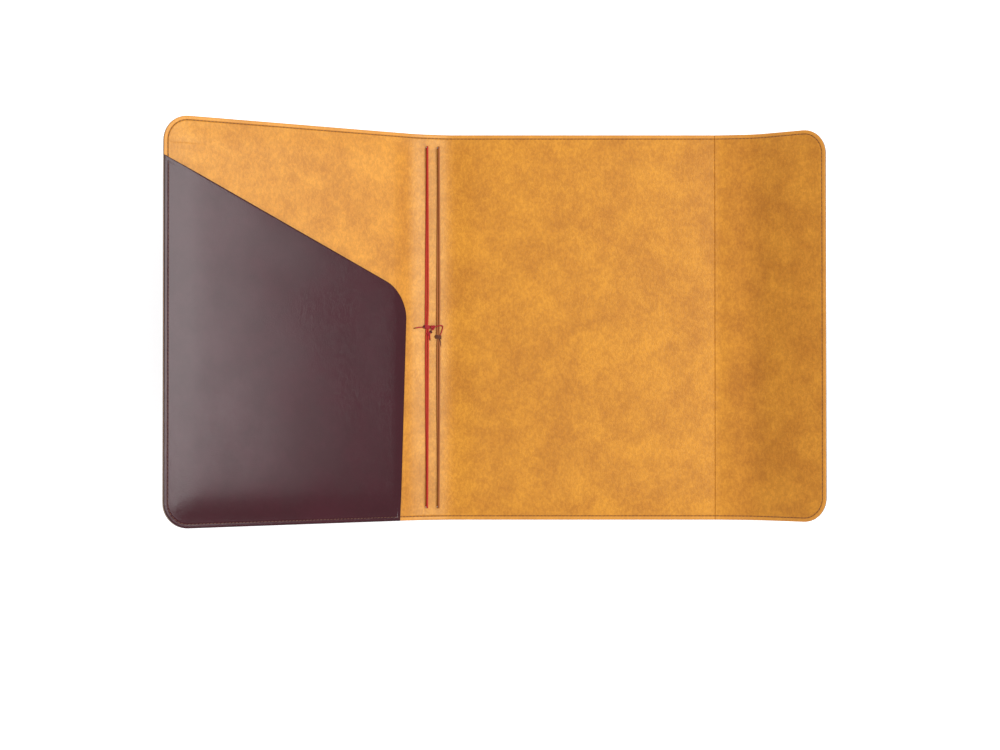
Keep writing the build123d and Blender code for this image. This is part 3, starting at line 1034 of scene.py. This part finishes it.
def cord_material(name, dark, light, roughness):
    """A woven cord with a burnt end."""
    material, tree, shader = new_material(name)
    sleeve = use_group(tree, SLEEVE, {"Strand place": attribute(tree, "strand_place", "Vector")})
    woven = sleeve.outputs["Height"]
    colour = blend_colours(tree, woven, dark, light)
    colour = stain_and_shade(tree, colour, attribute(tree, "burnt", "Fac"), 0.85, SCORCHED)
    tree.links.new(colour, shader.inputs["Base Color"])
    tree.links.new(ramp(tree, woven, 0.0, 1.0, roughness + 0.1, roughness),
                   shader.inputs["Roughness"])
    tree.links.new(bump(tree, woven, 0.5, 0.00012), shader.inputs["Normal"])
    shader.inputs["Sheen Weight"].default_value = 0.05
    shader.inputs["Specular IOR Level"].default_value = 0.25
    return material


RED = cord_material("red_elastic", (0.350, 0.012, 0.004, 1), (0.620, 0.038, 0.020, 1), 0.42)
BROWN = cord_material("brown_elastic", (0.270, 0.072, 0.012, 1), (0.430, 0.140, 0.036, 1), 0.45)
CRIMSON = cord_material("crimson_cord", (0.260, 0.010, 0.014, 1), (0.480, 0.024, 0.030, 1), 0.45)
# A darker copy of the crimson cord: painted shade for the knots' small beads.
SHADED_CRIMSON = cord_material("shaded_crimson_cord", (0.050, 0.010, 0.008, 1), (0.130, 0.026, 0.018, 1), 0.5)
DARK_BROWN = cord_material("dark_brown_cord", (0.060, 0.017, 0.010, 1),
                           (0.170, 0.050, 0.022, 1), 0.5)

# %% Wind the elastics
SPREAD = math.sqrt(2) * STRAND_PITCH / 2
STRAND_LIFT = CORD_CLEARANCE + CORD_RADIUS
OUTSIDE_LIFT = -SOFT_TOP - CORD_CLEARANCE - CORD_RADIUS
STACK_RISE = 2 * SPREAD
KNOT_HALF = 0.0011
BEND_REACH = 0.004
MID_REACH = 0.07
MID_SPREAD = 0.6 * SPREAD
BROWN_KNOT_Y = -0.0081


def elastic_route(across, knot_y):
    """The points of one cord wound twice through its two holes."""
    points = []
    for turn in (-1, 1):
        reach = HOLE_Y + turn * STRAND_PITCH / 2
        lift = STRAND_LIFT + (STACK_RISE if turn > 0 else 0)
        inside = across + turn * SPREAD
        outside = across + turn * STRAND_PITCH / 2
        points += [(inside, knot_y + KNOT_HALF, STRAND_LIFT),
                   (across + turn * MID_SPREAD, MID_REACH, (STRAND_LIFT + lift) / 2),
                   (across, reach - BEND_REACH, lift),
                   (across, reach, lift),
                   (outside, reach, (lift + OUTSIDE_LIFT) / 2),
                   (outside, reach, OUTSIDE_LIFT),
                   (outside, reach - BEND_REACH, OUTSIDE_LIFT),
                   (outside, BEND_REACH - reach, OUTSIDE_LIFT),
                   (outside, -reach, OUTSIDE_LIFT),
                   (outside, -reach, (lift + OUTSIDE_LIFT) / 2),
                   (across, -reach, lift),
                   (across, BEND_REACH - reach, lift),
                   (across + turn * MID_SPREAD, -MID_REACH, (STRAND_LIFT + lift) / 2),
                   (inside, knot_y - KNOT_HALF, STRAND_LIFT)]
    return [on_spine(*point) for point in points]


def ride_on_spine(bm, name, material, slot, *nodes):
    """Makes a piece that lies on the spine and stands for those frame nodes."""
    bmesh.ops.recalc_face_normals(bm, faces=bm.faces)
    piece = make_piece(bm, name, material)
    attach(piece, "spine")
    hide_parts(*nodes)
    return piece


for name, across, knot_y, material in (("red", -ELASTIC_OFFSET, 0.0, RED),
                                       ("brown", ELASTIC_OFFSET, BROWN_KNOT_Y, BROWN)):
    bm = bmesh.new()
    length = add_cord(bm, elastic_route(across, knot_y), CORD_RADIUS)
    ride_on_spine(bm, f"{name}_cord", material, f"{name}_elastic", f"{name}_elastic")
    print(name, "elastic", round(length, 4), "m")

# %% [markdown]
# ## Knots
#
# Small knots hold the cords at mid-height. A wrap is a coil round both strands, and a
# tight overhand knot is a trefoil, the simplest closed knot, which a formula draws. Between
# the elastics lies a tie cord: it is hitched to the red one, knotted in the middle, and goes
# over the brown one and back into its knot.

# %% Wraps, knots and tails
TIE_RADIUS = 0.0006
BEAD_RADIUS = 0.00045
FINE_RADIUS = 0.00042
WRAP_TURNS = 2.5
WRAP_LENGTH = 0.0024
WRAP_REACH = CORD_RADIUS + 0.8 * TIE_RADIUS
STEPS_PER_TURN = 10
KNOT_STEPS = 24


def wrap_points(across, up):
    """A coil round the two strands of an elastic."""
    steps = round(WRAP_TURNS * STEPS_PER_TURN)
    wide = SPREAD + WRAP_REACH
    points = []
    for step in range(steps + 1):
        angle = 2 * math.pi * WRAP_TURNS * step / steps
        lift = max(STRAND_LIFT + WRAP_REACH * math.sin(angle), TIE_RADIUS / 2)
        points.append(on_spine(across + wide * math.cos(angle),
                               up + WRAP_LENGTH * (step / steps - 0.5), lift))
    return points


def knot_points(across, up, size, lift, turn=0.0):
    """A trefoil of that size, lying on the spine."""
    points = []
    for step in range(KNOT_STEPS + 1):
        angle = 2 * math.pi * step / KNOT_STEPS
        x = math.sin(angle) + 2 * math.sin(2 * angle)
        y = math.cos(angle) - 2 * math.cos(2 * angle)
        z = -math.sin(3 * angle)
        flat = Matrix.Rotation(turn, 2) @ Vector((x, y)) * size / 6
        points.append(on_spine(across + flat.x, up + flat.y, lift + z * size / 6))
    return points


def lying(points):
    """A tie cord's points: across, up and lift in millimetres from the spine's middle."""
    return [on_spine(across / 1000, up / 1000, lift / 1000) for across, up, lift in points]


def knot_piece(name, material, slot, node, *cords):
    """One piece of a knot, drawn from its cords: their points, radius and burnt end."""
    bm = bmesh.new()
    for cord in cords:
        add_cord(bm, *cord)
    return ride_on_spine(bm, name, material, slot, node)


# %% The red elastic's knot
knot_piece("red_knot_wrap", CRIMSON, "crimson_cord", "red_elastic_knot",
           (wrap_points(-ELASTIC_OFFSET, 0.0), TIE_RADIUS))
# The bead beside the red knot is crimson cord drawn with painted shade.
knot_piece("red_knot_bead", SHADED_CRIMSON, "crimson_cord", "red_elastic_knot",
           (knot_points(-0.00665, -0.0001, 0.0023, 0.0013, 0.4), BEAD_RADIUS))

RED_TAIL = [(-7.2, -0.1, 0.9), (-9.2, -0.3, 0.75), (-11.4, -0.3, 0.8), (-13.4, -0.8, 0.9),
            (-15.4, -1.1, 1.1)]
TAIL_RADIUS = 0.85 * TIE_RADIUS
bm = bmesh.new()
add_cord(bm, [fold_up(Vector((SPINE_CENTRE + across / 1000, up / 1000,
                              SOFT_TOP + lift / 1000)))
              for across, up, lift in RED_TAIL], TAIL_RADIUS, burnt_end=True)
bmesh.ops.recalc_face_normals(bm, faces=bm.faces)
red_tail = make_piece(bm, "red_knot_tail", CRIMSON)
bend_with_case(red_tail, "front")
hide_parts("red_elastic_knot")

# %% The tie cord between the elastics
TIE_LEFT = [(-0.4, -0.8, 1.0), (-0.9, -2.4, 0.75), (-1.5, -4.0, 0.8), (-2.3, -5.2, 1.2),
            (-2.6, -6.8, 0.9), (-2.3, -8.6, 0.75), (-2.0, -10.6, 0.8)]
TIE_RIGHT = [(0.8, -0.3, 1.1), (2.4, 0.1, 1.5), (3.8, 0.7, 2.2), (5.6, 1.2, 2.3),
             (7.2, 1.3, 1.9), (8.5, 0.8, 1.1), (8.6, -0.6, 0.8), (7.8, -2.8, 0.8),
             (7.0, -5.2, 1.0), (6.2, -7.0, 1.4)]
knot_piece("centre_tie", CRIMSON, "crimson_cord", "centre_knot",
           (knot_points(0.0001, -0.0003, 0.0034, 0.0014), TIE_RADIUS),
           (lying(TIE_LEFT), TAIL_RADIUS, True),
           (lying(TIE_RIGHT), 0.7 * TIE_RADIUS))
# The small bead below the tie's knot is crimson cord drawn with painted shade.
knot_piece("tie_bead", SHADED_CRIMSON, "crimson_cord", "centre_knot",
           (knot_points(-0.0015, -0.0041, 0.0019, 0.0011, 0.9), FINE_RADIUS))
knot_piece("tie_hitch", CRIMSON, "crimson_cord", "centre_knot",
           (knot_points(-0.0036, -0.0056, 0.0024, 0.0019, 0.2), BEAD_RADIUS))

# %% The brown elastic's knot
BROWN_TAIL = [(5.6, -9.4, 1.5), (6.0, -10.8, 1.7), (6.4, -12.4, 1.2), (6.6, -14.0, 0.9),
              (6.5, -15.5, 0.8)]
knot_piece("brown_knot", DARK_BROWN, "brown_elastic", "brown_elastic_knot",
           (wrap_points(ELASTIC_OFFSET, BROWN_KNOT_Y), 0.9 * TIE_RADIUS),
           (knot_points(0.0032, -0.0078, 0.0021, 0.0013, 0.5), FINE_RADIUS),
           (lying(BROWN_TAIL), 0.8 * TIE_RADIUS, True))

# %% [markdown]
# ## Boards
#
# The boards stay the designer's own solids, hidden between the leathers. They still get a
# finish, a grey pressed board with fibres, because someone may take the case apart.

# %% Pressed board
def board_material():
    """Grey board with pressed fibres."""
    material, tree, shader = new_material("stiffener_board")
    place = add_node(tree, "ShaderNodeTexCoord").outputs["Object"]
    fibres = noise_value(tree, place, 700.0, 5.0, 0.7, 1.2)
    colour = blend_colours(tree, ramp(tree, fibres, 0.35, 0.65), (0.22, 0.20, 0.17, 1),
                           (0.34, 0.31, 0.26, 1))
    tree.links.new(colour, shader.inputs["Base Color"])
    tree.links.new(ramp(tree, fibres, 0.3, 0.7, 0.92, 0.8), shader.inputs["Roughness"])
    tree.links.new(bump(tree, fibres, 0.3, 0.0002), shader.inputs["Normal"])
    return material


BOARD = board_material()
for name in ("front_board", "back_board", "flap_board"):
    frame["nodes"][name].data.materials.clear()
    frame["nodes"][name].data.materials.append(BOARD)

# %% [markdown]
# ## Floor and light
#
# The case lies on a white floor that glows a little, so that it stays pure white under the
# lamp's uneven light. One large soft lamp stands high on the right and a little behind, so
# that the raised cover faces it and the flap turns away from it. The plum pocket mirrors the
# lamp's edge, which gives it its slow fade. White light from all round fills the shadows.

# %% Floor
FLOOR_DROP = 0.0003
FLOOR_GLOW = 0.50
FLOOR_HALF = 3
FLOOR_COLOUR = (0.93, 0.93, 0.93, 1)
floor_bm = bmesh.new()
bmesh.ops.create_grid(floor_bm, x_segments=1, y_segments=1, size=FLOOR_HALF)
bmesh.ops.translate(floor_bm, vec=(0, 0, -FLOOR_DROP), verts=floor_bm.verts)
floor_material, _, floor_shader = new_material("pale_floor")
floor_shader.inputs["Base Color"].default_value = FLOOR_COLOUR
floor_shader.inputs["Roughness"].default_value = 0.9
floor_shader.inputs["Specular IOR Level"].default_value = 0.1
floor_shader.inputs["Emission Color"].default_value = (1, 1, 1, 1)
floor_shader.inputs["Emission Strength"].default_value = FLOOR_GLOW
floor = make_piece(floor_bm, "floor", floor_material)

# %% Lamp and surrounding light
LAMP_PLACE = Vector((1.77, 0.31, 2.62))
LAMP_WIDTH = 1.5
LAMP_DEPTH = 1.90
LAMP_POWER = 72
SKY_STRENGTH = 0.78

lamp_data = bpy.data.lights.new("softbox", "AREA")
lamp_data.shape = "RECTANGLE"
lamp_data.size = LAMP_WIDTH
lamp_data.size_y = LAMP_DEPTH
lamp_data.energy = LAMP_POWER
lamp = bpy.data.objects.new("softbox", lamp_data)
lamp.location = LAMP_PLACE
lamp.rotation_euler = (-LAMP_PLACE).to_track_quat("-Z", "Y").to_euler()
bpy.context.scene.collection.objects.link(lamp)

world = bpy.data.worlds.new("studio")
world.use_nodes = True
world.node_tree.nodes["Background"].inputs["Color"].default_value = (1, 1, 1, 1)
world.node_tree.nodes["Background"].inputs["Strength"].default_value = SKY_STRENGTH
bpy.context.scene.world = world
